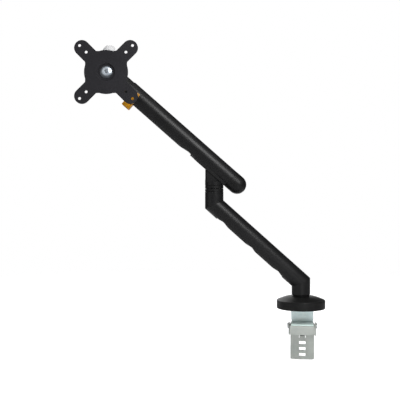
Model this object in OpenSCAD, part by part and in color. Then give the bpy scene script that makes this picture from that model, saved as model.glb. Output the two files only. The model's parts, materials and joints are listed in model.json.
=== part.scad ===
// Single-screen monitor arm on a desk-edge clamp.
// The origin is the centre of the base on the desk top. The screen faces -Y and +Z is up.

/* [Base] */
// Diameter of the round base cover
base_d = 94; // [90:1:110]
// Height of the cover's upright rim
base_rim_h = 17; // [15:0.5:18]
// Height that the cover's crown rises above the rim
base_crown = 7.5; // [7:0.5:9]
// Thickness of the pad between the base and the desk
pad_t = 1.2; // [0.8:0.1:1.5]

/* [Arms] */
// Outer diameter of both arm tubes
tube_d = 36; // [35:0.5:36]
// Horizontal reach of the lower arm, from the base axis to the elbow axis
lower_reach = 169.5; // [160:0.5:200]
// Height of the lower arm's lower bend
bend_low_z = 51.4; // [50:0.2:60]
// Slope of the lower arm, in degrees
lower_slope = 41.8; // [38:0.2:44]
// Height of the lift pivot above the upper bend
lift_rise = 78; // [77:0.5:80]
// Distance from the lift pivot to the knuckle pivot
upper_reach = 242; // [240:1:300]
// Angle of the upper arm above level, at its top stop
upper_slope = 41.4; // [38:0.1:42]
// Distance from the lift pivot to the round tail end
tail_reach = 77.5; // [75:0.5:82]

/* [Head] */
// Distance from the knuckle pivot to the swivel axis
head_offset = 23.7; // [23:0.1:26]
// Distance from the swivel axis to the plate's front face
plate_front = 50; // [49:0.5:54]
// Spacing of the outer square of screen holes
vesa_outer = 100; // [100]
// Spacing of the inner square of screen holes
vesa_inner = 75; // [75]
// Diameter of the screen holes
vesa_hole_d = 5.6; // [5:0.1:6]
// Thickness of the plate's sheet steel
plate_t = 2.5; // [2:0.1:3]

/* [Clamp] */
// Angle of the clamp from square to the arms
clamp_yaw = -8; // [-12:1:0]
// Sideways distance of the clamp from the base axis
clamp_x = 2.8; // [0:0.2:4]
// Width of the channel that guides the ladder plate
channel_w = 43.8; // [43:0.2:46]
// Width of the ladder plate below its channel
ladder_w = 46.6; // [44:0.2:48]
// Distance that the ladder plate reaches below the desk top
ladder_drop = 103.6; // [100:0.2:110]
// Gap between the desk pad and the jaw pad
desk_gap = 27; // [25:0.5:32]
// Distance from the base axis to the jaw's front edge
jaw_reach = 36; // [32:1:42]
// Height of the jaw's front lip
jaw_lip = 16.5; // [14:0.5:18]
// Distance from one ladder slot to the next
slot_pitch = 11.8; // [11:0.1:12]

/* [Hidden] */
$fn = 96;
gap = 0.3;
fit = 0.05;
big = 400;

black = "#1d1d1f";
grey_black = "#2c2c2f";
zinc = "#b9bec2";
steel = "#8d9094";
silver = "#e4e5e6";
bronze = "#b08d57";
ochre = "#c8961e";
rubber = "#3a3b3a";

tube_r = tube_d / 2;
wall = 2.5;
bore_r = tube_r - wall;

// Lower arm: places along it
elbow_x = -lower_reach;
bend_high_z = bend_low_z + lower_reach * tan(lower_slope);
lower_len = lower_reach / cos(lower_slope);
neck_z = base_rim_h + base_crown;
arm_foot_z = neck_z + 3;
elbow_z = bend_high_z + 24.5;

// Upper arm: the lift pivot and the knuckle pivot
lift_z = bend_high_z + lift_rise;
knuckle_x = elbow_x - upper_reach * cos(upper_slope);
knuckle_z = lift_z + upper_reach * sin(upper_slope);
crank = 10;
tongue_w = 20;
rod_slot_w = 7.6;
yoke_top_z = elbow_z + 12.5;

// Head
post_x = knuckle_x - head_offset;
sleeve_z = knuckle_z + 17;
sleeve_h = 40.4;
sleeve_r = 13;
cap_r = 12.85;
plate_z = knuckle_z + 12.2;
tilt_y = -27;
tilt_z = plate_z + 3.5;
recess_d = 3.2;
floor_y = -plate_front + recess_d;

// Clamp
channel_y = 12;
channel_depth = 11;
ladder_y = channel_y + 4;
ladder_t = 3;
jaw_top_z = -desk_gap - 2;
jaw_pin_z = jaw_top_z - 6.5;
jaw_w = 43.5;
lip_w = 46.8;
slot_z = -ladder_drop + 6.3;
slot_h = 5.8;
hook_slot = 3;
screw_y = 31;
ladder_top_z = -12;

// ---- Shared shapes ----

// Places children with local +X along the upper arm to the head and +Z square to it
module along_arm() {
  translate([elbow_x, 0, lift_z])
    rotate([0, upper_slope, 0])
      rotate([0, 0, 180])
        children();
}

// Places children with local +X up the lower arm from its lower bend and +Z square to it
module along_lower() {
  translate([0, 0, bend_low_z])
    rotate([0, lower_slope, 0])
      rotate([0, 0, 180])
        children();
}

// A bar along +X
module bar_x(r, from, to) {
  translate([from, 0, 0])
    rotate([0, 90, 0])
      cylinder(r = r, h = to - from);
}

// A pin along Y, centred on the origin
module pin_y(r, len) {
  rotate([90, 0, 0])
    cylinder(r = r, h = len, center = true);
}

// A pin along X, centred on the origin
module pin_x(r, len) {
  rotate([0, 90, 0])
    cylinder(r = r, h = len, center = true);
}

// A box centred on Y, given its ends along X and Z
module slab(x0, x1, w, z0, z1) {
  translate([x0, -w / 2, z0])
    cube([x1 - x0, w, z1 - z0]);
}

// An upright tube with its foot on z
module ring_z(r_out, r_in, z, h) {
  translate([0, 0, z])
    difference() {
      cylinder(r = r_out, h = h);
      translate([0, 0, -1])
        cylinder(r = r_in, h = h + 2);
    }
}

// Turns a thing to stand square to the desk edge
module at_clamp() {
  translate([clamp_x, 0, 0])
    rotate([0, 0, clamp_yaw])
      children();
}

// A circlip: an open ring lying flat
module circlip(r_in, r_out, h) {
  difference() {
    cylinder(r = r_out, h = h);
    translate([0, 0, -1])
      cylinder(r = r_in, h = h + 2);
    translate([0, -2, -1])
      cube([r_out + 1, 4, h + 2]);
  }
}

// ---- Base ----

module base_cover() {
  r = base_d / 2;
  foot = 0.4;
  skin = 2.4;
  color(black)
    difference() {
      rotate_extrude()
        polygon([
          [r - skin, foot], [r - 0.6, foot], [r, foot + 0.6],
          for (a = [0:15:90]) [r - 2 + 2 * cos(a), base_rim_h - 2 + 2 * sin(a)],
          for (t = [0.08:0.115:1]) [r - 2 - (r - 20) * t, base_rim_h + base_crown * sin(90 * t)],
          [17, neck_z], [17, neck_z - skin],
          for (t = [1:-0.25:0]) [r - 5 - (r - 24) * t, base_rim_h - skin + base_crown * sin(90 * t)],
          [r - skin, base_rim_h - 5]]);
      // Hole for the key that turns the clamp screw
      at_clamp()
        translate([0, screw_y, 5])
          cylinder(r = 4.5, h = 30);
    }
}

module base_flange() {
  boss_h = neck_z - 0.2;
  color(steel)
    difference() {
      union() {
        translate([0, 0, pad_t])
          cylinder(r = base_d / 2 - 4, h = 4.8);
        cylinder(r = 16.5, h = boss_h);
      }
      translate([0, 0, -1])
        cylinder(r = base_d / 2, h = pad_t + 1);
      translate([0, 0, 6])
        cylinder(r = 9, h = boss_h);
      at_clamp() {
        translate([0, screw_y, 0])
          cylinder(r = 4.3, h = 10);
        for (side = [-1, 1])
          translate([side * 12, channel_y + 9, 0])
            cylinder(r = 2.2, h = 10);
      }
    }
}

module desk_pad() {
  color(rubber)
    difference() {
      cylinder(r = base_d / 2 - 4, h = pad_t);
      at_clamp()
        translate([-big / 2, channel_y - gap, -1])
          cube([big, big, pad_t + 2]);
    }
}

module base_spindle() {
  color(steel)
    difference() {
      translate([0, 0, 6])
        cylinder(r = 9, h = 45);
      ring_z(10, 8.2, 48.8, 1.5);
    }
}

module base_circlip() {
  color(steel)
    translate([0, 0, 48.9])
      circlip(8.25, 11, 1.2);
}

module base_ring() {
  color(grey_black)
    translate([0, 0, neck_z + 0.1])
      rotate_extrude()
        polygon([[9.3, 0], [16.2, 0], [16.8, 0.6], [16.8, 2], [16.2, 2.6], [9.3, 2.6]]);
}

// ---- Clamp ----

module guide_channel() {
  half = channel_w / 2;
  sheet = 2.5;
  color(zinc)
    at_clamp()
      difference() {
        union() {
          // Front wall and side walls, with round front corners
          translate([0, channel_y, -25])
            linear_extrude(25 + pad_t)
              difference() {
                union() {
                  for (side = [-1, 1])
                    translate([side * (half - 3), 3])
                      circle(r = 3);
                  translate([-(half - 3), 0])
                    square([2 * half - 6, 6]);
                  translate([-half, 3])
                    square([2 * half, channel_depth - 3]);
                }
                translate([-(half - sheet), sheet])
                  square([2 * (half - sheet), channel_depth]);
              }
          // Skirt of the front wall, which reaches down behind the jaw
          slab_at(half - 1, channel_y, sheet, -30.5, -24);
          // Top tab under the flange
          translate([-half + 3, channel_y + 1, pad_t - 2.8])
            cube([2 * half - 6, 13, 2.8]);
        }
        for (side = [-1, 1])
          translate([side * 12, channel_y + 9, -5])
            cylinder(r = 2, h = 10);
      }
}

module channel_screws() {
  color(steel)
    at_clamp()
      for (side = [-1, 1])
        translate([side * 12, channel_y + 9, 0]) {
          translate([0, 0, pad_t - 2.8])
            cylinder(r = 2, h = 7.6);
          translate([0, 0, 6])
            difference() {
              cylinder(r = 3.8, h = 3.2);
              translate([0, 0, 1.4])
                cylinder(r = 1.7, h = 3, $fn = 6);
            }
        }
}

module clamp_screw() {
  color(steel)
    at_clamp()
      translate([0, screw_y, 0])
        difference() {
          union() {
            translate([0, 0, -40])
              cylinder(r = 4, h = 46.5);
            translate([0, 0, 6.1])
              cylinder(r = 6.8, h = 6.5);
          }
          translate([0, 0, 8.6])
            cylinder(r = 3.4, h = 5, $fn = 6);
        }
}

module ladder_plate() {
  neck = channel_w / 2 - 3.3;
  half = ladder_w / 2;
  corner = 3;
  step_z = -36;
  color(zinc)
    at_clamp()
      difference() {
        union() {
          slab_at(neck, ladder_y, ladder_t, step_z - 1, ladder_top_z);
          slab_at(half, ladder_y, ladder_t, -ladder_drop + corner, step_z);
          slab_at(half - corner, ladder_y, ladder_t, -ladder_drop, step_z);
          for (side = [-1, 1])
            translate([side * (half - corner), ladder_y, -ladder_drop + corner])
              rotate([-90, 0, 0])
                cylinder(r = corner, h = ladder_t);
          // Folded top that holds the nut
          translate([-neck + 3, ladder_y, ladder_top_z - ladder_t])
            cube([2 * neck - 6, 23, ladder_t]);
        }
        for (n = [0:4])
          translate([-6.3, ladder_y - 1, slot_z + slot_pitch * n])
            cube([12.6, ladder_t + 2, slot_h]);
        translate([0, screw_y, -20])
          cylinder(r = 4.3, h = 20);
      }
}

// An upright plate that faces -Y, centred on X
module slab_at(half, y, t, z0, z1) {
  translate([-half, y, z0])
    cube([2 * half, t, z1 - z0]);
}

module clamp_nut() {
  nut_h = 6.5;
  color(steel)
    at_clamp()
      translate([0, screw_y, ladder_top_z - ladder_t - nut_h])
        difference() {
          cylinder(r = 7.5, h = nut_h, $fn = 6);
          translate([0, 0, -1])
            cylinder(r = 4 + fit, h = nut_h + 2);
        }
}

module jaw_carrier() {
  outer = 26.9;
  cheek = 2.4;
  rear_y = ladder_y + ladder_t + gap;
  low_z = jaw_top_z - 25;
  hook_z = slot_z + slot_pitch * hook_slot + 0.7;
  color(zinc)
    at_clamp()
      difference() {
        union() {
          for (side = [-1, 1])
            translate([side * (outer - cheek / 2) - cheek / 2, 1, low_z])
              cube([cheek, rear_y + 1, 23.5]);
          slab_at(outer, rear_y, cheek, low_z, jaw_pin_z + 1);
          // Hook that drops into a ladder slot
          slab_at(5.6, rear_y, cheek, hook_z, low_z + 1);
          translate([-5.6, ladder_y - 1.6, hook_z])
            cube([11.2, ladder_t + 3, 4]);
        }
        translate([0, 8, jaw_pin_z])
          pin_x(3, 80);
      }
}

module jaw_pin() {
  color(steel)
    at_clamp()
      translate([0, 8, jaw_pin_z]) {
        pin_x(3, 56);
        for (side = [-1, 1])
          translate([side * 28.1, 0, 0])
            pin_x(5.2, 2.2);
      }
}

module jaw() {
  half = jaw_w / 2;
  sheet = 2.5;
  side_x = 22.3;
  side_t = 2.2;
  front_y = -jaw_reach;
  color(zinc)
    at_clamp()
      difference() {
        union() {
          translate([-half, front_y + 2, jaw_top_z - sheet])
            cube([2 * half, jaw_reach + 9.6, sheet]);
          // Front lip, with a round bend at its top
          slab_at(lip_w / 2, front_y, sheet, jaw_top_z - jaw_lip, jaw_top_z - 2);
          translate([0, front_y + 2, jaw_top_z - 2])
            intersection() {
              pin_x(2, lip_w);
              translate([-50, -2, 0])
                cube([100, 2, 2]);
            }
          // Sides, which slope down from the bend to the pin
          for (side = [-1, 1])
            translate([side * side_x, 0, 0]) {
              rotate([90, 0, 90])
                linear_extrude(side_t, center = true)
                  polygon([
                    [front_y + 2, jaw_top_z - 0.5], [front_y + 2, jaw_top_z - 13],
                    [8, jaw_top_z - 12], [8, jaw_pin_z]]);
              translate([0, 8, jaw_pin_z])
                pin_x(5.5, side_t);
            }
        }
        translate([0, 8, jaw_pin_z])
          pin_x(3 + fit, 80);
      }
}

module jaw_pad() {
  color(rubber)
    at_clamp()
      translate([-jaw_w / 2 + 0.5, -jaw_reach + 3, jaw_top_z])
        cube([jaw_w - 1, jaw_reach + 6, 2]);
}

// ---- Lower arm ----

mitre_tilt = (90 - lower_slope) / 2;
// Each cover's two ends up the leg, then where its finger scallop starts, is deepest and ends
lower_covers = [
  [34.5, 103.5, 35, 46, 63],
  [104, 154, 104.5, 116, 133.5],
  [154.5, 205, 174.5, 191, 204]];
covers_from = 34.5;
covers_to = 205;
cover_w = 22.4;
cover_face = 16.4;
cover_seat = 10.6;
scallop_depth = 2.2;

// The half of space on one side of a bend's mitre plane: 1 above it, -1 below it
module mitre_side(x, z, side) {
  translate([x, 0, z])
    rotate([0, -mitre_tilt, 0])
      translate([0, 0, side * big / 2])
        cube(big, center = true);
}

// Bore for the bush on the base spindle
module foot_bore() {
  translate([0, 0, arm_foot_z - 1])
    cylinder(r = 12, h = 26);
}

// Bore for the bush on the elbow spindle
module top_bore() {
  translate([elbow_x, 0, elbow_z - 26])
    cylinder(r = 12, h = 30);
}

// Upright tube that turns on the base spindle, mitred to the leg
module lower_arm_foot() {
  color(black)
    difference() {
      intersection() {
        translate([0, 0, arm_foot_z])
          cylinder(r = tube_r, h = bend_low_z - arm_foot_z + tube_r);
        mitre_side(0, bend_low_z, -1);
      }
      foot_bore();
    }
}

// Sloping tube, with a cable channel and a seat for the covers along its underside
module lower_arm_leg() {
  color(black)
    difference() {
      intersection() {
        along_lower()
          bar_x(tube_r, -tube_r, lower_len + tube_r);
        mitre_side(0, bend_low_z, 1);
        mitre_side(elbow_x, bend_high_z, -1);
      }
      foot_bore();
      top_bore();
      along_lower() {
        slab(covers_from + 4, covers_to - 4, 14, -cover_seat - 1, 2);
        slab(covers_from - 0.2, covers_to + 0.2, cover_w + 0.4, -tube_r - 1, 0.2 - cover_seat);
      }
    }
}

// Upright tube that holds the elbow bearing, mitred to the leg
module lower_arm_top() {
  color(black)
    difference() {
      intersection() {
        translate([elbow_x, 0, bend_high_z - tube_r])
          cylinder(r = tube_r, h = elbow_z - bend_high_z + tube_r);
        mitre_side(elbow_x, bend_high_z, 1);
      }
      top_bore();
    }
}

// Depth of a finger scallop at a distance along its cover
function scallop(x, from, middle, to, depth) =
  x <= from || x >= to ? 0 :
  depth * (x < middle
    ? (1 - cos(180 * (x - from) / (middle - from))) / 2
    : (1 + cos(180 * (x - middle) / (to - middle))) / 2);

module lower_cable_cover(cover) {
  x0 = cover[0];
  x1 = cover[1];
  from = cover[2];
  to = cover[4];
  step = (to - from) / 14;
  color(black)
    along_lower()
      difference() {
        intersection() {
          bar_x(tube_r - 0.1, x0, x1);
          rotate([90, 0, 0])
            linear_extrude(cover_w, center = true)
              polygon([
                [x0, -cover_seat], [x0, -cover_face],
                for (k = [0:14])
                  let (x = from + step * k)
                    [x, -cover_face + scallop(x, from, cover[3], to, scallop_depth)],
                [x1, -cover_face], [x1, -cover_seat]]);
        }
        slab(x0 + 2.5, x1 - 2.5, 13, -12.2, 0);
      }
}

module lower_cable_cover_1() { lower_cable_cover(lower_covers[0]); }
module lower_cable_cover_2() { lower_cable_cover(lower_covers[1]); }
module lower_cable_cover_3() { lower_cable_cover(lower_covers[2]); }

module lower_bush() {
  color(bronze)
    ring_z(12, 9 + fit, arm_foot_z, 21);
}

module elbow_bush() {
  color(bronze)
    translate([elbow_x, 0, 0])
      ring_z(12, 9 + fit, elbow_z - 20.5, 20.5);
}

// ---- Elbow ----

// A friction ring with chamfered edges
module elbow_ring(z) {
  h = 5.9;
  color(grey_black)
    translate([elbow_x, 0, z])
      rotate_extrude()
        polygon([
          [9.4, 0], [tube_r - 0.8, 0], [tube_r - 0.1, 0.7],
          [tube_r - 0.1, h - 0.7], [tube_r - 0.8, h], [9.4, h]]);
}

module elbow_ring_lower() { elbow_ring(elbow_z + 0.2); }
module elbow_ring_upper() { elbow_ring(elbow_z + 6.4); }

module yoke() {
  shoulder_z = lift_z - 6;
  foot_h = 7;
  color(black)
    difference() {
      union() {
        // Round foot, shaved to clear the arm's underside at its top stop
        difference() {
          translate([elbow_x, 0, yoke_top_z])
            cylinder(r = tube_r, h = foot_h);
          along_arm()
            slab(-60, 20, 60, -tube_r - 0.4, 20);
        }
        // Tongue that stands in the arm's slot, and its rounded eye
        translate([elbow_x, 0, 0])
          intersection() {
            translate([0, 0, yoke_top_z + 1])
              cylinder(r = tube_r, h = shoulder_z - yoke_top_z - 1);
            slab(-20, 20, tongue_w, 0, big);
          }
        translate([elbow_x, 0, lift_z])
          intersection() {
            pin_y(13.5, tongue_w);
            sphere(r = bore_r - gap);
          }
      }
      translate([elbow_x, 0, 0]) {
        // Slot that the push rod and the levelling rod swing in
        slab(-20, 20, rod_slot_w, yoke_top_z + 11, big);
        translate([0, 0, lift_z])
          pin_y(6.5, 40);
        translate([0, 0, lift_z + crank])
          pin_y(2, 40);
        translate([0, 0, lift_z - crank])
          pin_y(2.5, 40);
        // Seat of the spindle
        translate([0, 0, yoke_top_z - 1])
          cylinder(r = 9, h = 9);
      }
    }
}

module elbow_spindle() {
  color(steel)
    translate([elbow_x, 0, 0])
      difference() {
        translate([0, 0, elbow_z - 24.4])
          cylinder(r = 9, h = yoke_top_z + 8 - elbow_z + 24.4);
        ring_z(10, 8.2, elbow_z - 23.2, 1.5);
      }
}

module elbow_circlip() {
  color(steel)
    translate([elbow_x, 0, elbow_z - 23.05])
      circlip(8.25, 11, 1.2);
}

module lift_bush() {
  color(bronze)
    translate([elbow_x, 0, lift_z])
      for (side = [-1, 1])
        translate([0, side * (tongue_w + rod_slot_w) / 4, 0])
          difference() {
            pin_y(6.5, (tongue_w - rod_slot_w) / 2);
            pin_y(4.5 + fit, 20);
          }
}

module level_anchor_pin() {
  color(steel)
    translate([elbow_x, 0, lift_z + crank])
      pin_y(2, 16);
}

module crank_pin() {
  color(steel)
    translate([elbow_x, 0, lift_z - crank])
      pin_y(2.5, tongue_w);
}

// ---- Upper arm ----

tail_seam = -43;
slot_tail = -41.2;
slot_head = 37;
tongue_slot_w = 20.8;
slot_lip = 2.5;
upper_cover_from = 47.6;
upper_cover_to = 187;
upper_cover_w = 21;
tube_end = 222;
rod_n = -7.6;
spring_n = -5.2;
spring_r = 7;
spring_wire = 1.1;
nut_x = 150;
seat_x = 56;

module upper_tube() {
  color(black)
    along_arm()
      difference() {
        union() {
          bar_x(tube_r, tail_seam, tube_end);
          // Lips that stiffen the slot's edges
          for (y = [-slot_lip - tongue_slot_w / 2, tongue_slot_w / 2])
            translate([slot_tail, y, -tube_r])
              cube([slot_head - slot_tail, slot_lip, 6.5]);
        }
        bar_x(bore_r, tail_seam - 1, tube_end + 1);
        slab(slot_tail, slot_head, tongue_slot_w, -20, 0);
        slab(upper_cover_from - 0.2, upper_cover_to + 0.2, upper_cover_w + 0.4, -20, 0);
      }
}

module tail_cap() {
  r = tube_r + 0.2;
  color(black)
    along_arm()
      difference() {
        union() {
          bar_x(r, -tail_reach + r, tail_seam - 0.2);
          translate([-tail_reach + r, 0, 0])
            sphere(r = r);
          bar_x(bore_r - 0.1, tail_seam - 1, tail_seam + 8);
        }
        bar_x(bore_r - 2.6, -tail_reach + r, tail_seam + 9);
        slab(slot_tail - 0.2, 0, tongue_slot_w, -20, 20);
      }
}

module pivot_housing() {
  color(steel)
    along_arm()
      difference() {
        bar_x(bore_r - 0.05, -34, 50);
        slab(-35, 40, tongue_slot_w, -20, 20);
        // Room for the clip-in cover
        slab(upper_cover_from - 0.6, 51, upper_cover_w + 0.6, -20, -12.7);
        pin_y(4.5, 40);
        translate([0, 0, rod_n])
          bar_x(2.5 + fit, 39, 51);
        slab(39, 51, 5.8, 4.4, 13.2);
      }
}

module lift_pin() {
  color(steel)
    translate([elbow_x, 0, lift_z])
      pin_y(4.5, 28);
}

module upper_cable_cover() {
  x0 = upper_cover_from;
  x1 = upper_cover_to;
  color(black)
    along_arm()
      intersection() {
        bar_x(tube_r, x0, x1);
        rotate([90, 0, 0])
          linear_extrude(upper_cover_w, center = true)
            polygon([
              [x0, -13],
              for (k = [0:15])
                let (x = x0 + 2.2 * k)
                  [x, -tube_r + scallop(x, x0 - 9.3, x0 + 4.4, x0 + 31, 3.4)],
              [x1 - 0.6, -tube_r], [x1, -tube_r + 0.6], [x1, -13]]);
      }
}

module end_fork() {
  color(black)
    along_arm()
      difference() {
        union() {
          bar_x(bore_r - 0.05, 196, tube_end + 1);
          bar_x(tube_r, tube_end + 0.2, upper_reach);
          translate([upper_reach, 0, 0])
            sphere(r = tube_r);
        }
        slab(219, 300, 14.8, -30, 30);
        // Slot for the levelling rod
        slab(190, 222, 6.4, 4.4, 13.4);
        // Bore and counterbore for the tension screw
        translate([0, 0, spring_n]) {
          bar_x(3 + fit, 190, 222);
          bar_x(5.6, 211, 230);
        }
        translate([upper_reach, 0, 0])
          pin_y(4, 60);
      }
}

module knuckle_pin() {
  color(steel)
    translate([knuckle_x, 0, knuckle_z])
      pin_y(4, 31);
}

module push_rod() {
  // The fork starts over the crank pin, which stands here along the arm
  fork_x = -crank * sin(upper_slope);
  color(steel)
    along_arm() {
      difference() {
        slab(fork_x - 5.6, fork_x + 5.6, 7, -14.2, -5.4);
        slab(fork_x - 2.85, fork_x + 2.85, 8, -12.9, 0);
      }
      translate([0, 0, rod_n])
        bar_x(2.5, fork_x + 5.4, seat_x + 4);
    }
}

module spring_seat() {
  color(steel)
    along_arm()
      difference() {
        translate([0, 0, spring_n])
          bar_x(spring_r + 0.2, seat_x, seat_x + 4);
        translate([0, 0, rod_n])
          bar_x(2.5, seat_x - 1, seat_x + 5);
      }
}

// Points of a ring of the spring wire, at a turn counted from its first end
function wire_ring(turn, radius, wire, length, turns) =
  [for (k = [0:7])
    let (r = radius + wire * cos(45 * k))
    [length * turn / turns + wire * sin(45 * k), r * cos(360 * turn), r * sin(360 * turn)]];

module lift_spring() {
  turns = 13;
  steps = 14;
  rings = turns * steps;
  x0 = seat_x + 4.1 + spring_wire;
  len = nut_x - 0.1 - spring_wire - x0;
  points = [for (s = [0:rings]) each wire_ring(s / steps, spring_r - spring_wire, spring_wire, len, turns)];
  sides = [for (s = [0:rings - 1], k = [0:7])
    [8 * s + k, 8 * s + (k + 1) % 8, 8 * s + 8 + (k + 1) % 8, 8 * s + 8 + k]];
  color(steel)
    along_arm()
      translate([x0, 0, spring_n])
        polyhedron(
          points = points,
          faces = concat([[for (k = [7:-1:0]) k]], sides, [[for (k = [0:7]) 8 * rings + k]]),
          convexity = 10);
}

module tension_nut() {
  color(steel)
    along_arm()
      translate([0, 0, spring_n])
        difference() {
          bar_x(spring_r + 0.2, nut_x, nut_x + 8);
          bar_x(3 + fit, nut_x - 1, nut_x + 9);
        }
}

module tension_screw() {
  color(steel)
    along_arm()
      translate([0, 0, spring_n])
        difference() {
          union() {
            bar_x(3, nut_x - 12, 212);
            bar_x(5.2, 211.2, 216.5);
          }
          translate([213.5, 0, 0])
            rotate([0, 90, 0])
              cylinder(r = 2.6, h = 5, $fn = 6);
        }
}

module levelling_rod() {
  n = crank * cos(upper_slope);
  x0 = crank * sin(upper_slope);
  color(steel)
    along_arm()
      translate([x0, 0, n])
        difference() {
          union() {
            bar_x(2.4, 3, upper_reach - 3);
            for (x = [0, upper_reach])
              translate([x, 0, 0])
                pin_y(4.2, 6);
          }
          for (x = [0, upper_reach])
            translate([x, 0, 0])
              pin_y(2 + fit, 20);
        }
}

module lock_collar() {
  x0 = 196.2;
  width = 17.5;
  r_in = tube_r + 0.15;
  r_out = tube_r + 1.9;
  tab_w = 13;
  tab_reach = tube_r + 13;
  color(ochre)
    along_arm()
      difference() {
        union() {
          bar_x(r_out, x0, x0 + width);
          slab(x0, x0 + width, tab_w, -tab_reach + 1.5, -tube_r);
          slab(x0 + 1.5, x0 + width - 1.5, tab_w - 3, -tab_reach, -tube_r);
          for (x = [x0 + 1.5, x0 + width - 1.5])
            translate([x, 0, -tab_reach + 1.5])
              pin_y(1.5, tab_w);
        }
        bar_x(r_in, x0 - 1, x0 + width + 1);
        // Open at the top, so that it clips onto the tube
        translate([x0 - 1, -30, 5])
          cube([width + 2, 60, 30]);
      }
}

// ---- Head ----

// Places children on the swivel axis, with +X to the right
module at_post() {
  translate([post_x, 0, 0])
    children();
}

module knuckle() {
  boss_r = 13;
  color(black)
    difference() {
      union() {
        difference() {
          at_post()
            translate([0, 0, knuckle_z - 13])
              cylinder(r = boss_r, h = 28.7);
          translate([knuckle_x, 0, knuckle_z])
            sphere(r = tube_r + 0.6);
        }
        translate([knuckle_x, 0, knuckle_z]) {
          pin_y(14.2, 14);
          slab(-head_offset, 0, 14, -11, 12);
        }
      }
      at_post()
        translate([0, 0, knuckle_z - 9])
          cylinder(r = 6, h = 40);
      translate([knuckle_x, 0, knuckle_z]) {
        pin_y(4 + fit, 30);
        // Slot that the levelling rod's end swings in
        slab(-5.5, 20, 6.6, -7, 20);
        translate([0, 0, crank])
          pin_y(2, 30);
      }
    }
}

module level_pin() {
  color(steel)
    translate([knuckle_x, 0, knuckle_z + crank])
      pin_y(2, 13.6);
}

module head_post() {
  color(steel)
    at_post() {
      translate([0, 0, knuckle_z - 9])
        cylinder(r = 6, h = sleeve_z + sleeve_h + 0.2 - knuckle_z + 9);
      translate([0, 0, sleeve_z + sleeve_h])
        cylinder(r = 4, h = 10);
    }
}

module post_cap() {
  z0 = sleeve_z + sleeve_h + 0.3;
  color(silver)
    at_post()
      difference() {
        union() {
          translate([0, 0, z0])
            cylinder(r = cap_r, h = 3);
          intersection() {
            translate([0, 0, z0 + 3])
              sphere(r = cap_r);
            translate([0, 0, z0 + 3])
              cylinder(r = cap_r + 1, h = 20);
          }
        }
        translate([0, 0, z0 - 1])
          cylinder(r = 4, h = 10.7);
      }
}

module swivel_washer() {
  color(grey_black)
    at_post()
      ring_z(12.6, 6.1, knuckle_z + 15.8, 1);
}

module swivel_bracket() {
  color(black)
    at_post()
      difference() {
        union() {
          translate([0, 0, sleeve_z])
            cylinder(r = sleeve_r, h = sleeve_h);
          translate([-sleeve_r, tilt_y + 6.8, sleeve_z + 4])
            cube([2 * sleeve_r, -tilt_y - 6.8, 20]);
          for (side = [-1, 1])
            translate([side * 10.7, 0, 0]) {
              translate([0, tilt_y, tilt_z])
                pin_x(6.5, 4.6);
              translate([-2.3, tilt_y, tilt_z - 6.5])
                cube([4.6, 7, 6.5]);
              translate([-2.3, tilt_y, tilt_z - 0.5])
                cube([4.6, 7, 24]);
            }
        }
        translate([0, 0, sleeve_z - 1])
          cylinder(r = 8.5, h = sleeve_h + 2);
        translate([0, tilt_y, tilt_z])
          pin_x(3, 60);
      }
}

module swivel_bush() {
  color(bronze)
    at_post()
      ring_z(8.5, 6 + fit, sleeve_z, sleeve_h);
}

module tilt_pin() {
  color(steel)
    at_post()
      translate([0, tilt_y, tilt_z])
        pin_x(3, 26);
}

// A disc facing the screen, from one Y to another
module disc_y(r, y0, y1) {
  translate([0, y1, 0])
    rotate([90, 0, 0])
      cylinder(r = r, h = y1 - y0);
}

module tilt_block() {
  front_y = floor_y + plate_t + 1.2;
  color(black)
    at_post()
      difference() {
        union() {
          translate([0, 0, plate_z])
            disc_y(17, front_y, front_y + 5);
          translate([-8.1, front_y + 4, tilt_z - 6.2])
            cube([16.2, tilt_y - front_y - 4, 12.4]);
          translate([0, tilt_y, tilt_z])
            pin_x(6.2, 16.2);
        }
        translate([0, 0, plate_z])
          disc_y(4, front_y - 1, -34);
        translate([0, tilt_y, tilt_z])
          pin_x(3 + fit, 60);
      }
}

module plate_washer() {
  color(grey_black)
    at_post()
      translate([0, 0, plate_z])
        difference() {
          disc_y(16, floor_y + plate_t + 0.1, floor_y + plate_t + 1.1);
          disc_y(4.3, floor_y, floor_y + 8);
        }
}

module bolt_washer() {
  color(steel)
    at_post()
      translate([0, 0, plate_z])
        difference() {
          disc_y(11.9, floor_y - 0.7, floor_y - 0.1);
          disc_y(4.05, floor_y - 2, floor_y + 2);
        }
}

module centre_bolt() {
  head_r = 11.5;
  head_h = 2.4;
  ball = (head_r * head_r + head_h * head_h) / (2 * head_h);
  face = floor_y - 0.75;
  color(silver)
    at_post()
      translate([0, 0, plate_z])
        difference() {
          union() {
            disc_y(4, face - 0.1, -34.5);
            intersection() {
              translate([0, face - head_h + ball, 0])
                sphere(r = ball);
              disc_y(head_r, face - 5, face);
            }
          }
          translate([0, face - 0.9, 0])
            rotate([90, 0, 0])
              cylinder(r = 3.4, h = 5, $fn = 6);
        }
}

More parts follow.
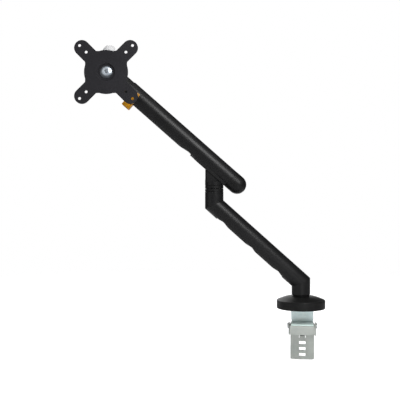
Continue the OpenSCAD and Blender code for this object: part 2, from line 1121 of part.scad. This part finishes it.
module vesa_plate() {
  body = 79;
  ear_r = 14.7;
  ear_at = 45.5;
  recess_r = 15.5;
  fillet = 4;
  y1 = -plate_front + plate_t;
  color(grey_black)
    at_post()
      translate([0, 0, plate_z])
        difference() {
          union() {
            translate([0, y1, 0])
              rotate([90, 0, 0])
                linear_extrude(plate_t)
                  offset(r = -fillet)
                    offset(delta = fillet) {
                      square(body, center = true);
                      circle(r = body / 2 + 2);
                      for (a = [45:90:315])
                        rotate(a)
                          hull() {
                            translate([ear_at * sqrt(2), 0])
                              circle(r = ear_r);
                            circle(r = ear_r);
                          }
                    }
            disc_y(recess_r + 2.5, -plate_front + 0.1, floor_y + plate_t);
          }
          // Pressed recess for the bolt head, with a bevelled lip
          disc_y(recess_r, -plate_front - 1, floor_y);
          translate([0, -plate_front - 0.01, 0])
            rotate([-90, 0, 0])
              cylinder(r1 = recess_r + 1.6, r2 = recess_r - 0.01, h = 1.6);
          disc_y(4.08, -plate_front, 0);
          for (size = [vesa_outer, vesa_inner], sx = [-1, 1], sz = [-1, 1])
            translate([sx * size / 2, 0, sz * size / 2])
              disc_y(vesa_hole_d / 2, -plate_front - 1, -plate_front + 8);
        }
}

// ---- Parts ----

base_cover();
base_flange();
desk_pad();
base_spindle();
base_circlip();
base_ring();
guide_channel();
channel_screws();
clamp_screw();
ladder_plate();
clamp_nut();
jaw_carrier();
jaw_pin();
jaw();
jaw_pad();
lower_arm_foot();
lower_arm_leg();
lower_arm_top();
lower_bush();
elbow_bush();
lower_cable_cover_1();
lower_cable_cover_2();
lower_cable_cover_3();
elbow_ring_lower();
elbow_ring_upper();
yoke();
elbow_spindle();
elbow_circlip();
level_anchor_pin();
crank_pin();
lift_bush();
upper_tube();
tail_cap();
pivot_housing();
lift_pin();
upper_cable_cover();
end_fork();
knuckle_pin();
push_rod();
spring_seat();
lift_spring();
tension_nut();
tension_screw();
levelling_rod();
lock_collar();
knuckle();
level_pin();
head_post();
post_cap();
swivel_washer();
swivel_bracket();
swivel_bush();
tilt_pin();
tilt_block();
plate_washer();
bolt_washer();
centre_bolt();
vesa_plate();
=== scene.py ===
"""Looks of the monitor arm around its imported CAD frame: the camera, a pale floor, soft lights, procedural
materials, and the balance spring as a coil of wire. Lengths are in metres, and colours are linear."""

import json
import math

import bmesh
import bpy
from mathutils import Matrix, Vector


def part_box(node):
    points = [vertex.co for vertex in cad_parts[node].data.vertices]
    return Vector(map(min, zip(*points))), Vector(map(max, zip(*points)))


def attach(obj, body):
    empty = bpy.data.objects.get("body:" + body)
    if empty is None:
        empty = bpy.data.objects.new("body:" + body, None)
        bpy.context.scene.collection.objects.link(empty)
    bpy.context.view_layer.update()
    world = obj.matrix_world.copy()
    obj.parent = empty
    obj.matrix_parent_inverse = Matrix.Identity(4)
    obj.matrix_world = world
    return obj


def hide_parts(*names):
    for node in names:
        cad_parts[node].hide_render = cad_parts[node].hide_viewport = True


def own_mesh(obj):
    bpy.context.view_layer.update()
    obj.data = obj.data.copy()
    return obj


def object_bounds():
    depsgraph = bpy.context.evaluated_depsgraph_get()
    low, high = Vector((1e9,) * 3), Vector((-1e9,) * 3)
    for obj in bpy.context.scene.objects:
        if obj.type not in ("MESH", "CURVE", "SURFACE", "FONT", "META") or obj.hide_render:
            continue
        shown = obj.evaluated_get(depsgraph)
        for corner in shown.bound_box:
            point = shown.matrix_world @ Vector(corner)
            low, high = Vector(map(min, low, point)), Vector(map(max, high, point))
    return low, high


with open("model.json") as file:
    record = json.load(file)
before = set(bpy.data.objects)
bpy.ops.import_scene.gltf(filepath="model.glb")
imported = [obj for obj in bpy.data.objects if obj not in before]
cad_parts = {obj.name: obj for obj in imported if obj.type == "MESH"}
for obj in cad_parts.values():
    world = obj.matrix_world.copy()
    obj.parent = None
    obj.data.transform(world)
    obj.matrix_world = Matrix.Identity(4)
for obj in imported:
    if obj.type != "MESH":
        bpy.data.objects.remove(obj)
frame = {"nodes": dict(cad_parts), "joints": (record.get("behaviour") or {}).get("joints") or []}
cad_low, cad_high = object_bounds()
cad_middle = (cad_low + cad_high) / 2
nodes = frame["nodes"]
scene = bpy.context.scene

# ---- Places and ranges from the frame ----


def centre_of(node):
    """The middle of a CAD node's box."""
    low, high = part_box(node)
    return (Vector(low) + Vector(high)) / 2


def slide_range(joint):
    """The lowest and highest place of a sliding joint, with rest at 0."""
    return [row for row in frame["joints"] if row["name"] == joint][0]["range_m"]


# ---- Camera ----

CAMERA_PLACE = (-0.1974, -1.370, 0.2116)
CAMERA_LENS = 63.0
SENSOR_WIDTH = 36.0
# An unturned camera looks straight down, and this turn makes it look level, along Y
LEVEL_TURN = math.radians(90)


def make_camera():
    """A level camera square to the arms, as in the photograph."""
    data = bpy.data.cameras.new("camera")
    data.lens = CAMERA_LENS
    data.sensor_width = SENSOR_WIDTH
    camera = bpy.data.objects.new("camera", data)
    camera.location = CAMERA_PLACE
    camera.rotation_euler = (LEVEL_TURN, 0, 0)
    scene.collection.objects.link(camera)
    scene.camera = camera


# ---- Node graphs ----

# Noise seldom leaves the middle of 0 to 1, and a sum of two noises leaves it less often still
NOISE_SPAN = (0.35, 0.65)
SUM_SPAN = (0.38, 0.62)
# The edge colour starts and is full where the eased normal leans this far, as 1 less the lean's cosine; it
# is wear on most finishes and painted light on some
EDGE_START = 0.01
EDGE_FULL = 0.18
EDGE_SAMPLES = 4
GRAIN_STRENGTH = 0.5


class Graph:
    """A tree of shader nodes, built with short calls."""

    def __init__(self, tree):
        self.tree = tree
        tree.nodes.clear()

    def add(self, kind, inputs=None, **settings):
        """A new node with its settings, and values for some inputs by name or number."""
        node = self.tree.nodes.new(kind)
        for key, value in settings.items():
            setattr(node, key, value)
        for key, value in (inputs or {}).items():
            node.inputs[key].default_value = value
        return node

    def link(self, source, target):
        self.tree.links.new(source, target)

    def feed(self, value, target):
        """Links a socket to an input, or gives it a plain value."""
        if isinstance(value, bpy.types.NodeSocket):
            self.link(value, target)
        else:
            target.default_value = value

    def spread(self, value, low, high, span=NOISE_SPAN, easing="LINEAR"):
        """A value mapped from a span to low and high, and held between them."""
        node = self.add(
            "ShaderNodeMapRange",
            {"From Min": span[0], "From Max": span[1], "To Min": low, "To Max": high},
            interpolation_type=easing)
        self.link(value, node.inputs["Value"])
        return node.outputs["Result"]

    def either(self, share, first, second):
        """Two shaders mixed, with a share of the second."""
        node = self.add("ShaderNodeMixShader")
        self.link(share, node.inputs["Fac"])
        self.link(first, node.inputs[1])
        self.link(second, node.inputs[2])
        return node.outputs[0]


class Surface(Graph):
    """A material's graph round one principled shader, in the object's own coordinates."""

    def __init__(self, name):
        self.material = bpy.data.materials.new(name)
        self.material.use_nodes = True
        super().__init__(self.material.node_tree)
        self.out = self.add("ShaderNodeOutputMaterial")
        self.bsdf = self.add("ShaderNodeBsdfPrincipled")
        self.link(self.bsdf.outputs["BSDF"], self.out.inputs["Surface"])
        self.coords = self.add("ShaderNodeTexCoord").outputs["Object"]

    def stretched(self, scale):
        """The object coordinates, stretched by a scale along each axis."""
        node = self.add("ShaderNodeMapping", {"Scale": scale})
        self.link(self.coords, node.inputs["Vector"])
        return node.outputs["Vector"]

    def noise(self, scale, detail, roughness, coords=None):
        node = self.add("ShaderNodeTexNoise", {"Scale": scale, "Detail": detail, "Roughness": roughness})
        self.link(coords or self.coords, node.inputs["Vector"])
        return node.outputs["Fac"]

    def times(self, value, factor):
        """A value times a factor, which is a number or a socket."""
        node = self.add("ShaderNodeMath", operation="MULTIPLY")
        self.link(value, node.inputs[0])
        self.feed(factor, node.inputs[1])
        return node.outputs[0]

    def summed(self, first, second, share):
        """The sum of two values, of which the first counts for a share."""
        node = self.add("ShaderNodeMath", {1: share}, operation="MULTIPLY_ADD")
        self.link(first, node.inputs[0])
        self.link(self.times(second, 1 - share), node.inputs[2])
        return node.outputs[0]

    def ramp(self, value, first, last, span=NOISE_SPAN):
        """A value turned into a colour between two, which stand at the ends of a span."""
        node = self.add("ShaderNodeValToRGB")
        for mark, place, colour in zip(node.color_ramp.elements, span, (first, last)):
            mark.position = place
            mark.color = (*colour, 1)
        self.link(value, node.inputs["Fac"])
        return node.outputs["Color"]

    def mixed(self, share, first, second, blend="MIX"):
        """Two colours mixed, with a share of the second. Each is a socket or a value."""
        node = self.add("ShaderNodeMix", data_type="RGBA", blend_type=blend)
        targets = [socket for socket in node.inputs if socket.type == "RGBA"]
        self.feed(share, node.inputs[0])
        self.feed(first, targets[0])
        self.feed(second, targets[1])
        return [socket for socket in node.outputs if socket.type == "RGBA"][0]

    def from_axis(self, centre, radius):
        """The distance from a line along Y, as a share of a radius."""
        shift = self.add("ShaderNodeVectorMath", {1: centre}, operation="SUBTRACT")
        self.link(self.coords, shift.inputs[0])
        flat = self.add("ShaderNodeVectorMath", {1: (1 / radius, 0, 1 / radius)}, operation="MULTIPLY")
        self.link(shift.outputs[0], flat.inputs[0])
        length = self.add("ShaderNodeVectorMath", operation="LENGTH")
        self.link(flat.outputs[0], length.inputs[0])
        return length.outputs["Value"]

    def rings(self, colour, share, stops):
        """A colour darkened in rings of painted light and shade; each stop is a share of the radius and the
        brightness kept there.
        """
        node = self.add("ShaderNodeValToRGB")
        marks = node.color_ramp.elements
        while len(marks) < len(stops):
            marks.new(1)
        for mark, (place, kept) in zip(marks, stops):
            mark.position = place
            mark.color = (kept, kept, kept, 1)
        self.link(share, node.inputs["Fac"])
        return self.mixed(1, colour, node.outputs["Color"], "MULTIPLY")

    def eased(self, radius):
        """The normal with edges rounded by a radius."""
        node = self.add("ShaderNodeBevel", {"Radius": radius}, samples=EDGE_SAMPLES)
        return node.outputs["Normal"]

    def edges(self, eased):
        """1 on a sharp edge and 0 away from it, from how far the eased normal leans."""
        geometry = self.add("ShaderNodeNewGeometry")
        lean = self.add("ShaderNodeVectorMath", operation="DOT_PRODUCT")
        self.link(eased, lean.inputs[0])
        self.link(geometry.outputs["Normal"], lean.inputs[1])
        return self.spread(lean.outputs["Value"], 1, 0, (1 - EDGE_FULL, 1 - EDGE_START))

    def bump(self, height, depth, normal):
        """A normal with a fine relief of a depth laid over it."""
        node = self.add("ShaderNodeBump", {"Strength": GRAIN_STRENGTH, "Distance": depth})
        self.link(height, node.inputs["Height"])
        self.link(normal, node.inputs["Normal"])
        return node.outputs["Normal"]


# ---- Backdrop and floor ----

# Strength of the even light from the camera's side of the room, and from behind the arm
FRONT_FILL = 0.52
BACK_FILL = 0.11
# Where one turns into the other, along Y from -1 behind the camera to 1 behind the arm
FILL_SPAN = (-0.75, 0.45)
FILL_COLOUR = (0.97, 0.98, 1.0, 1)
BACKDROP_COLOUR = (1, 1, 1, 1)
BACKDROP_STRENGTH = 1.0
FLOOR_RADIUS = 2.4
FLOOR_SEGMENTS = 96
# The floor is whole up to the first distance from its middle, and clear from the second
FLOOR_FADE = (0.35, 0.8 * FLOOR_RADIUS)
# How far the floor lies below the ladder
FLOOR_DROP = 0.002
FLOOR_GLOW = 0.62
PAPER_DARK = (0.86, 0.86, 0.87)
PAPER_LIGHT = (0.90, 0.90, 0.91)
PAPER_ROUGHNESS = 0.8
PAPER_CLOUDS = 40


def make_world():
    """White where the camera sees it, and a dimmer even fill for everything else."""
    world = bpy.data.worlds.new("studio")
    world.use_nodes = True
    graph = Graph(world.node_tree)
    out = graph.add("ShaderNodeOutputWorld")
    # The side that the screen faces is the bright side of the room
    coords = graph.add("ShaderNodeTexCoord")
    split = graph.add("ShaderNodeSeparateXYZ")
    graph.link(coords.outputs["Generated"], split.inputs[0])
    level = graph.spread(split.outputs["Y"], FRONT_FILL, BACK_FILL, FILL_SPAN, "SMOOTHSTEP")
    fill = graph.add("ShaderNodeBackground", {"Color": FILL_COLOUR})
    graph.link(level, fill.inputs["Strength"])
    seen = graph.add("ShaderNodeBackground", {"Color": BACKDROP_COLOUR, "Strength": BACKDROP_STRENGTH})
    path = graph.add("ShaderNodeLightPath")
    shown = graph.either(path.outputs["Is Camera Ray"], fill.outputs[0], seen.outputs[0])
    graph.link(shown, out.inputs["Surface"])
    scene.world = world


def floor_paper():
    """Pale clouded paper, which turns clear towards the floor's rim to meet the backdrop."""
    graph = Surface("floor_paper")
    clouds = graph.noise(PAPER_CLOUDS, detail=4, roughness=0.5)
    graph.link(graph.ramp(clouds, PAPER_DARK, PAPER_LIGHT), graph.bsdf.inputs["Base Color"])
    graph.bsdf.inputs["Roughness"].default_value = PAPER_ROUGHNESS
    # The camera sees the paper lit up a little, without that light reaching the arm
    path = graph.add("ShaderNodeLightPath")
    glow = graph.add("ShaderNodeEmission")
    graph.link(graph.times(path.outputs["Is Camera Ray"], FLOOR_GLOW), glow.inputs["Strength"])
    lit = graph.add("ShaderNodeAddShader")
    graph.link(graph.bsdf.outputs["BSDF"], lit.inputs[0])
    graph.link(glow.outputs[0], lit.inputs[1])
    distance = graph.add("ShaderNodeVectorMath", operation="LENGTH")
    graph.link(graph.coords, distance.inputs[0])
    fade = graph.spread(distance.outputs["Value"], 0, 1, FLOOR_FADE, "SMOOTHSTEP")
    clear = graph.add("ShaderNodeBsdfTransparent")
    graph.link(graph.either(fade, lit.outputs[0], clear.outputs[0]), graph.out.inputs["Surface"])
    return graph.material


def make_floor():
    """A round floor just under the ladder."""
    mesh = bpy.data.meshes.new("floor")
    bm = bmesh.new()
    bmesh.ops.create_circle(bm, cap_ends=True, segments=FLOOR_SEGMENTS, radius=FLOOR_RADIUS)
    bm.to_mesh(mesh)
    bm.free()
    mesh.materials.append(floor_paper())
    floor = bpy.data.objects.new("floor", mesh)
    floor.location = (cad_middle.x, cad_middle.y, cad_low.z - FLOOR_DROP)
    scene.collection.objects.link(floor)


# ---- Lights ----

# Height of the upper arm's middle, as a share of the whole
UPPER_SHARE = 0.78


def aimed_light(name, azimuth, elevation, distance, size, power, target):
    """A round soft light. Azimuth 0 is the camera's side and 90 the right."""
    around = math.radians(azimuth)
    above = math.radians(elevation)
    back = Vector((
        math.sin(around) * math.cos(above),
        -math.cos(around) * math.cos(above),
        math.sin(above)))
    data = bpy.data.lights.new(name, "AREA")
    data.shape = "DISK"
    data.size = size
    data.energy = power
    lamp = bpy.data.objects.new(name, data)
    lamp.location = target + back * distance
    lamp.rotation_mode = "QUATERNION"
    lamp.rotation_quaternion = back.to_track_quat("Z", "Y")
    lamp.visible_camera = False
    scene.collection.objects.link(lamp)


def make_lights():
    """A key on the upper arm, weak fills, a top light, and two behind for the base's crown and the back."""
    upper = Vector((cad_middle.x, 0, cad_low.z + UPPER_SHARE * (cad_high.z - cad_low.z)))
    clamp = Vector((0, 0, cad_low.z / 2))
    base = Vector((0, 0, 0))
    aimed_light("key", azimuth=25, elevation=28, distance=1.25, size=0.62, power=15, target=upper)
    aimed_light("fill_left", azimuth=-62, elevation=10, distance=2.0, size=1.3, power=3, target=cad_middle)
    aimed_light("top", azimuth=100, elevation=80, distance=1.9, size=1.5, power=4, target=cad_middle)
    aimed_light("clamp_fill", azimuth=8, elevation=2, distance=0.7, size=0.35, power=0.42, target=clamp)
    aimed_light("back_low", azimuth=180, elevation=14, distance=1.5, size=0.9, power=2.5, target=base)
    aimed_light("back_high", azimuth=205, elevation=34, distance=1.9, size=1.0, power=16, target=cad_middle)


# ---- Finishes ----

# Shares of the bolt head's radius, and how bright the head is painted there over recess, dish, crown and
# rim: painted highlights in the recess and on the crown, painted shade at the recess's edge and towards the
# rim
BOLT_PAINTED_LIGHT_RINGS = [(0.0, 0.75), (0.20, 0.60), (0.27, 0.12), (0.36, 0.9), (0.62, 1.0), (0.80, 0.35), (0.98, 0.16)]
# The rings' centre, with the crown's painted highlight, sits this far up and to the right of the head's
# centre, so the head is painted lighter at the top and darker at the bottom
BOLT_PAINTED_HIGHLIGHT_SHIFT = (0.0010, 0.0, 0.0019)
# Scale of the patches along an edge, per metre, and how strong the edge colour is from one to the next; it
# is wear on most finishes and painted light on some
WEAR_AND_PAINTED_LIGHT_PATCHES = 180
WEAR_AND_PAINTED_LIGHT_LEAST = 0.15
WEAR_AND_PAINTED_LIGHT_MOST = 0.85


def finish_of(name, dark, light, rough, grain, depth, edge=None, metallic=0.0, specular=0.5, cloud=22,
              fine_share=0.35, stretch=(1, 1, 1), radius=0.0004, rings=None):
    """A surface finish: clouded colour and roughness, fine grain, and marked edges.
    Colour runs from dark to light and roughness over rough, as the clouds do. cloud and grain are the
    scales of the clouds and of the grain, per metre. depth is the grain's height, stretch its scale
    along each axis, and fine_share its share in the clouds. Edges are rounded by radius and mixed in
    patches towards the colour edge: wear on most finishes, painted light on the blue zinc and the ochre.
    rings holds a bolt head's centre, radius and stops, which paint rings of light and shade on the head."""
    graph = Surface(name)
    graph.bsdf.inputs["Metallic"].default_value = metallic
    graph.bsdf.inputs["Specular IOR Level"].default_value = specular
    clouds = graph.noise(cloud, detail=5, roughness=0.55)
    fine = graph.noise(grain, detail=3, roughness=0.6, coords=graph.stretched(stretch))
    both = graph.summed(fine, clouds, fine_share)
    colour = graph.ramp(both, dark, light, SUM_SPAN)
    eased = graph.eased(radius)
    if edge:
        # Edge colour: wear on most finishes, and painted light on the blue zinc and the ochre
        patches = graph.noise(WEAR_AND_PAINTED_LIGHT_PATCHES, detail=3, roughness=0.6)
        edge_wear_and_painted_light = graph.times(graph.edges(eased), graph.spread(patches, WEAR_AND_PAINTED_LIGHT_LEAST, WEAR_AND_PAINTED_LIGHT_MOST))
        colour = graph.mixed(edge_wear_and_painted_light, colour, (*edge, 1))
    # The bolt head's painted reflection: bright rings are painted highlights and dark rings are painted
    # shade
    if rings:
        centre, reach, stops = rings
        colour = graph.rings(colour, graph.from_axis(centre, reach), stops)
    graph.link(colour, graph.bsdf.inputs["Base Color"])
    graph.link(graph.spread(both, rough[0], rough[1], SUM_SPAN), graph.bsdf.inputs["Roughness"])
    graph.link(graph.bump(fine, depth, eased), graph.bsdf.inputs["Normal"])
    return graph.material


def make_finishes():
    """One material for each of the record's slots."""
    bolt_low, bolt_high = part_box("centre_bolt")
    bolt_radius = (bolt_high[0] - bolt_low[0]) / 2
    # Centre of the bolt's painted light rings, moved up so that the head is painted lighter at the top
    crown = centre_of("centre_bolt") + Vector(BOLT_PAINTED_HIGHLIGHT_SHIFT)
    return {
        "black_coat": finish_of(
            "powder_coat_black", dark=(0.0036, 0.0036, 0.0038), light=(0.0054, 0.0054, 0.0056),
            rough=(0.37, 0.41), grain=950, depth=0.000014, edge=(0.012, 0.012, 0.013),
            specular=0.22, radius=0.0007, fine_share=0.15),
        "plate_coat": finish_of(
            "powder_coat_plate", dark=(0.0076, 0.0072, 0.0092), light=(0.0102, 0.0096, 0.0122),
            rough=(0.46, 0.54), grain=1300, depth=0.000035, edge=(0.026, 0.026, 0.030),
            specular=0.24, radius=0.0006),
        "black_plastic": finish_of(
            "moulded_black", dark=(0.0024, 0.0024, 0.0024), light=(0.0040, 0.0039, 0.0037),
            rough=(0.40, 0.50), grain=2200, depth=0.00003, edge=(0.010, 0.010, 0.010),
            specular=0.20, radius=0.0005),
        "ring_plastic": finish_of(
            "ring_nylon", dark=(0.003, 0.003, 0.003), light=(0.005, 0.005, 0.005),
            rough=(0.42, 0.52), grain=1500, depth=0.00003, edge=(0.02, 0.02, 0.02), specular=0.2),
        "rubber": finish_of(
            "rubber_pad", dark=(0.018, 0.018, 0.017), light=(0.034, 0.034, 0.031),
            rough=(0.72, 0.88), grain=1100, depth=0.00016, specular=0.3, fine_share=0.6),
        # The pad's colour is set well above its own grey-green so that the pad, in shade under the base,
        # looks lit: painted light
        "pad_grey": finish_of(
            "pad_grey", dark=(0.60, 0.74, 0.70), light=(0.70, 0.83, 0.79),
            rough=(0.60, 0.75), grain=1100, depth=0.00012, specular=0.3, fine_share=0.6),
        "zinc": finish_of(
            "zinc_plate", dark=(0.37, 0.395, 0.37), light=(0.45, 0.47, 0.44),
            rough=(0.40, 0.54), grain=260, depth=0.00003, edge=(0.80, 0.82, 0.82),
            metallic=0.7, stretch=(1, 1, 7), cloud=34, radius=0.0006),
        # The blue tint is the plating's own. The colour is set bright and partly diffuse so the channel, in
        # the base's shade, looks lit: painted light. The dark edge colour is a painted dark reflection
        "zinc_blue": finish_of(
            "zinc_blue_plate", dark=(0.68, 0.83, 0.84), light=(0.84, 0.94, 0.92),
            rough=(0.34, 0.48), grain=240, depth=0.00002, edge=(0.30, 0.33, 0.36),
            metallic=0.45, stretch=(1, 1, 5), cloud=26, radius=0.0008),
        "steel": finish_of(
            "turned_steel", dark=(0.40, 0.41, 0.42), light=(0.53, 0.54, 0.55),
            rough=(0.26, 0.40), grain=900, depth=0.00002, edge=(0.7, 0.7, 0.7), metallic=1.0, cloud=60),
        "spring_steel": finish_of(
            "oiled_spring", dark=(0.045, 0.045, 0.048), light=(0.10, 0.10, 0.105),
            rough=(0.30, 0.44), grain=1200, depth=0.00003, metallic=0.9, cloud=90),
        # The bolt head's own plating colour, with rings of painted highlight and painted shade laid over it
        "chrome": finish_of(
            "blue_plate_painted_reflection", dark=(0.34, 0.38, 0.43), light=(0.60, 0.65, 0.69),
            rough=(0.30, 0.42), grain=700, depth=0.00001, metallic=0.75, cloud=120, radius=0.0005,
            rings=(crown, bolt_radius, BOLT_PAINTED_LIGHT_RINGS)),
        "aluminium": finish_of(
            "satin_silver", dark=(0.60, 0.60, 0.60), light=(0.65, 0.65, 0.65),
            rough=(0.58, 0.66), grain=1500, depth=0.000004, specular=0.25, cloud=60),
        "bronze": finish_of(
            "oil_bronze", dark=(0.30, 0.19, 0.085), light=(0.42, 0.28, 0.13),
            rough=(0.34, 0.50), grain=1700, depth=0.00005, metallic=0.95, cloud=110, fine_share=0.6),
        # The cream edge colour is a painted highlight along the collar's edges, over the ochre's own colour
        "ochre": finish_of(
            "moulded_ochre", dark=(0.36, 0.155, 0.001), light=(0.45, 0.205, 0.002),
            rough=(0.36, 0.46), grain=1600, depth=0.00004, edge=(0.74, 0.62, 0.34),
            specular=0.25, cloud=120),
    }


def slot_name(material):
    """The record's slot that an imported material stands for."""
    return material.name.split(".")[0]


def dress_cad(finishes):
    """Gives every CAD node its finish in place of the imported colour."""
    for name in sorted(nodes):
        mesh = nodes[name].data
        for index, old in enumerate(mesh.materials):
            mesh.materials[index] = finishes[slot_name(old)]


# ---- Balance spring ----

SPRING_TURNS = 13
# Turns at each end that are wound closed, with no gap to the next
CLOSED_TURNS = 1
# From the spring's axis to the middle of the wire
SPRING_RADIUS = 0.0059
WIRE_RADIUS = 0.0011
TURN_STEPS = 22
WIRE_SIDES = 12
# Half the thickness of the seat and of the nut that the spring stands between
SEAT_HALF = 0.002
NUT_HALF = 0.004
SPRING_GAP = 0.0001


def swung(first, second, turn):
    """The first direction, swung by a share of a turn on the way to the second."""
    angle = 2 * math.pi * turn
    return first * math.cos(angle) + second * math.sin(angle)


def coil_place(turn, length):
    """How far along the spring a turn is: closed at the ends and evenly open between them."""
    closed = 2 * WIRE_RADIUS
    open_pitch = (length - closed - 2 * CLOSED_TURNS * closed) / (SPRING_TURNS - 2 * CLOSED_TURNS)
    first = min(turn, CLOSED_TURNS)
    last = max(turn - (SPRING_TURNS - CLOSED_TURNS), 0)
    return WIRE_RADIUS + closed * (first + last) + open_pitch * (turn - first - last)


def coil_mesh(name, start, along, length):
    """A coil of wire of a length, from start, as one closed tube."""
    across = Vector((0, 1, 0))
    up = along.cross(across)
    bm = bmesh.new()
    rings = []
    for step in range(SPRING_TURNS * TURN_STEPS + 1):
        turn = step / TURN_STEPS
        out = swung(across, up, turn)
        middle = start + along * coil_place(turn, length) + out * SPRING_RADIUS
        ring = []
        for side in range(WIRE_SIDES):
            ring.append(bm.verts.new(middle + swung(out, along, side / WIRE_SIDES) * WIRE_RADIUS))
        rings.append(ring)
    for ring, after in zip(rings, rings[1:]):
        for side in range(WIRE_SIDES):
            following = (side + 1) % WIRE_SIDES
            bm.faces.new((ring[side], ring[following], after[following], after[side]))
    bm.faces.new(rings[0])
    bm.faces.new(reversed(rings[-1]))
    bmesh.ops.recalc_face_normals(bm, faces=bm.faces)
    mesh = bpy.data.meshes.new(name)
    bm.to_mesh(mesh)
    bm.free()
    mesh.shade_smooth()
    return mesh


def make_spring(finishes):
    """The balance spring as one fixed coil; the real spring shortens as the arm tips down. It stands
    between its seat and the nut, and short of the nut by as much as the nut can come in."""
    seat = centre_of("spring_seat")
    nut = centre_of("tension_nut")
    along = (nut - seat).normalized()
    nut_room = -slide_range("tension_nut_slide")[0]
    start = seat + along * (SEAT_HALF + SPRING_GAP)
    end = nut - along * (NUT_HALF + nut_room + SPRING_GAP)
    length = (end - start).length
    mesh = coil_mesh("balance_spring_coil", start, along, length)
    mesh.materials.append(finishes["spring_steel"])
    spring = bpy.data.objects.new("balance_spring_coil", mesh)
    scene.collection.objects.link(spring)
    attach(spring, "upper_arm")
    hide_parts("lift_spring")
    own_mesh(spring)


make_camera()
make_world()
make_lights()
make_floor()
finishes = make_finishes()
dress_cad(finishes)
make_spring(finishes)
scene.view_settings.view_transform = "Standard"
